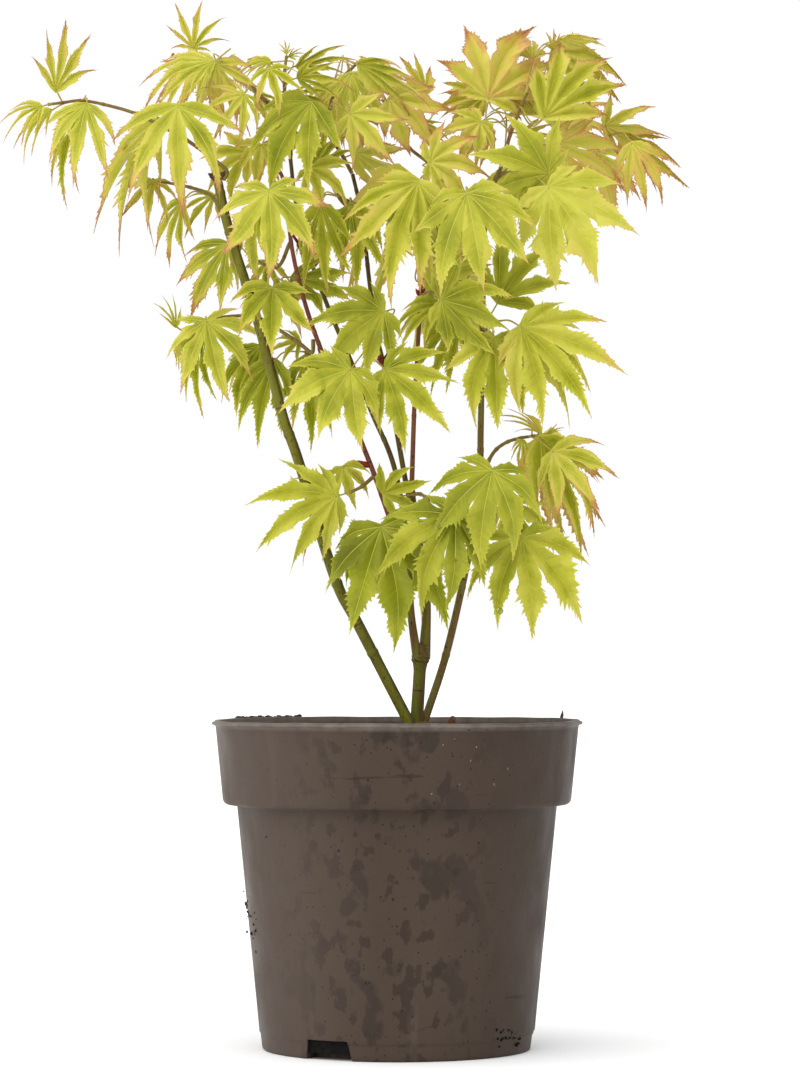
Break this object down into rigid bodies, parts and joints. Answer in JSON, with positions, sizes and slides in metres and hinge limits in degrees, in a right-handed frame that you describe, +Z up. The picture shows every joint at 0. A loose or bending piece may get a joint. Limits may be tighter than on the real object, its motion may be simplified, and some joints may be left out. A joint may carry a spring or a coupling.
{
  "type": "potted japanese maple",
  "caption": "Young Japanese maple with slender upright canes and lime-green lobed leaves, in a round taupe nursery pot that stands on its flat underside.",
  "frame": {"origin": "centre of the pot's flat underside, on the surface that the pot stands on", "axes": "+Z up the plant; -Y towards the side that the reference view shows, with +X to that view's right"},
  "size_m": [0.3542, 0.231, 0.5393],
  "materials": {
    "pot_plastic": "matt taupe-brown moulded plastic, damp in places",
    "compost": "moist dark peat and bark chips",
    "bark_green": "smooth olive-green young bark with lenticels",
    "bark_brown": "smooth brown young bark",
    "leaf_lime": "soft satin lime-green leaf",
    "leaf_gold": "soft satin yellow-green leaf with ochre-pink margins",
    "leaf_olive": "soft satin deeper green leaf"
  },
  "bodies": {
    "root": {"pot": "pot_plastic", "potting_compost": "compost", "root_crown": "bark_brown", "left_cane": "bark_green", "centre_stem": "bark_green", "centre_left_bough": "bark_green", "centre_right_bough": "bark_green", "stem_one": "bark_brown", "stem_two": "bark_brown", "stem_three": "bark_brown", "stem_four": "bark_brown", "upper_left_bough": "bark_brown", "right_cane": "bark_brown", "far_left_spray": "leaf_gold", "left_inner_spray": "leaf_lime", "yellow_spray": "leaf_gold", "left_face_spray": "leaf_lime", "left_back_spray": "leaf_olive", "inner_hanging_spray": "leaf_olive", "left_mid_spray": "leaf_lime", "left_lower_spray": "leaf_gold", "left_hanging_spray": "leaf_lime", "centre_spray": "leaf_lime", "upper_left_spray": "leaf_gold", "top_left_spray": "leaf_gold", "inner_green_spray": "leaf_olive", "top_centre_spray": "leaf_gold", "top_right_spray": "leaf_gold", "centre_face_spray": "leaf_lime", "centre_mid_spray": "leaf_lime", "right_face_spray": "leaf_lime", "right_mid_spray": "leaf_lime", "upper_right_spray": "leaf_gold", "right_tip_spray": "leaf_gold", "right_leaf_spray": "leaf_lime", "low_arch_spray": "leaf_gold", "low_right_spray": "leaf_lime", "low_centre_spray": "leaf_lime", "low_left_spray": "leaf_lime", "low_front_spray": "leaf_lime"}
  },
  "joints": []
}
